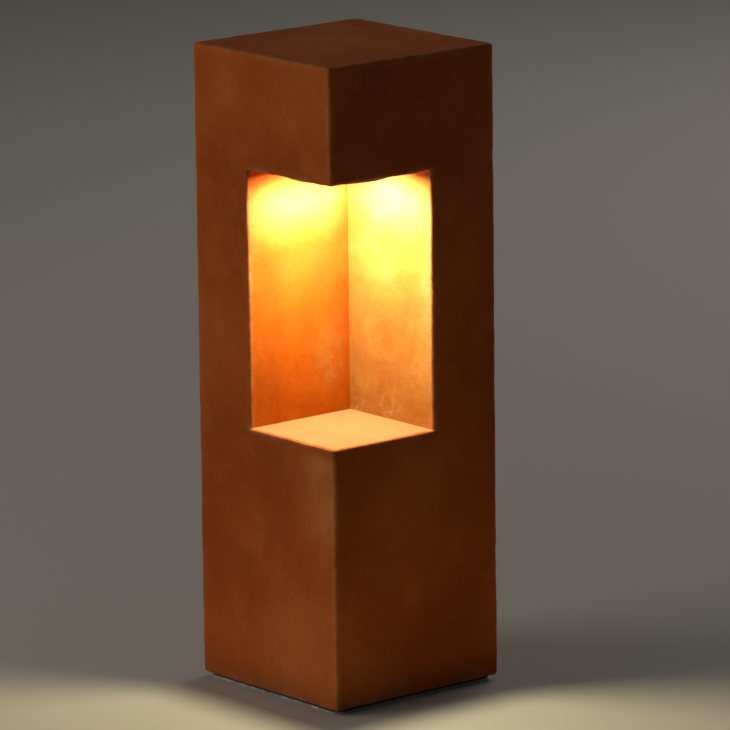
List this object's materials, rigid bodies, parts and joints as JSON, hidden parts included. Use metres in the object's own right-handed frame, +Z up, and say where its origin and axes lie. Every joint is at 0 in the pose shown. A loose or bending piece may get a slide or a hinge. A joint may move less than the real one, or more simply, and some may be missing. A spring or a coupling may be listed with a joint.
{
  "type": "stone lantern",
  "caption": "Square stone garden lantern column, cut away at one corner, with a downlight hidden in the head of the cut-out and the gear in its foot.",
  "frame": {"origin": "centre of the footprint, on the ground", "axes": "+Z up along the column; the cut-out opens towards +X and -Y"},
  "size_m": [0.132, 0.132, 0.403],
  "materials": {
    "stone": "matt, honed sawn faces with soft cloudy mottling and fine grain",
    "aluminium": "turned",
    "stainless_steel": "brushed",
    "galvanised_steel": "galvanised, slightly spangled",
    "brass": "machined",
    "black_rubber": "moulded, matt",
    "grey_plastic": "moulded",
    "black_plastic": "moulded",
    "white_plastic": "moulded",
    "conduit_plastic": "extruded tube",
    "circuit_board": "white solder mask",
    "emitter": "lit phosphor",
    "frosted_glass": "frosted, lit from behind"
  },
  "bodies": {
    "base": {"base_plate": "galvanised_steel", "foot_gasket": "black_rubber", "cable_grommet": "black_rubber"},
    "column": {"stone_column": "stone", "cable_conduit": "conduit_plastic", "threaded_sleeve_1": "brass", "threaded_sleeve_2": "brass", "locking_screw_1": "stainless_steel", "locking_screw_2": "stainless_steel", "lamp_housing": "aluminium", "led_carrier": "aluminium", "led_board": "circuit_board", "led_emitter": "emitter", "reflector": "white_plastic", "board_screw_1": "stainless_steel", "board_screw_2": "stainless_steel", "lens_gasket": "black_rubber", "diffuser_glass": "frosted_glass", "bezel_ring": "stainless_steel", "bezel_screw_1": "stainless_steel", "bezel_screw_2": "stainless_steel", "bezel_screw_3": "stainless_steel", "lamp_grommet": "black_rubber", "lamp_lead": "black_rubber", "gear_bracket": "galvanised_steel", "ceiling_socket_1": "brass", "ceiling_socket_2": "brass", "bracket_screw_1": "stainless_steel", "bracket_screw_2": "stainless_steel", "led_driver": "white_plastic", "driver_screw_1": "stainless_steel", "driver_screw_2": "stainless_steel", "junction_box": "grey_plastic", "junction_lid": "grey_plastic", "lid_gasket": "black_rubber", "lid_screw_1": "stainless_steel", "lid_screw_2": "stainless_steel", "lid_screw_3": "stainless_steel", "lid_screw_4": "stainless_steel", "box_screw_1": "stainless_steel", "box_screw_2": "stainless_steel", "terminal_block": "white_plastic", "supply_gland_body": "black_plastic", "supply_gland_seal": "black_rubber", "supply_gland_nut": "black_plastic", "link_grommet": "black_rubber", "link_lead": "black_rubber"}
  },
  "joints": [
    {"name": "column_lift", "type": "slide", "parent": "base", "child": "column", "axis": [0, 0, 1], "range_m": [0, 0.12]}
  ]
}
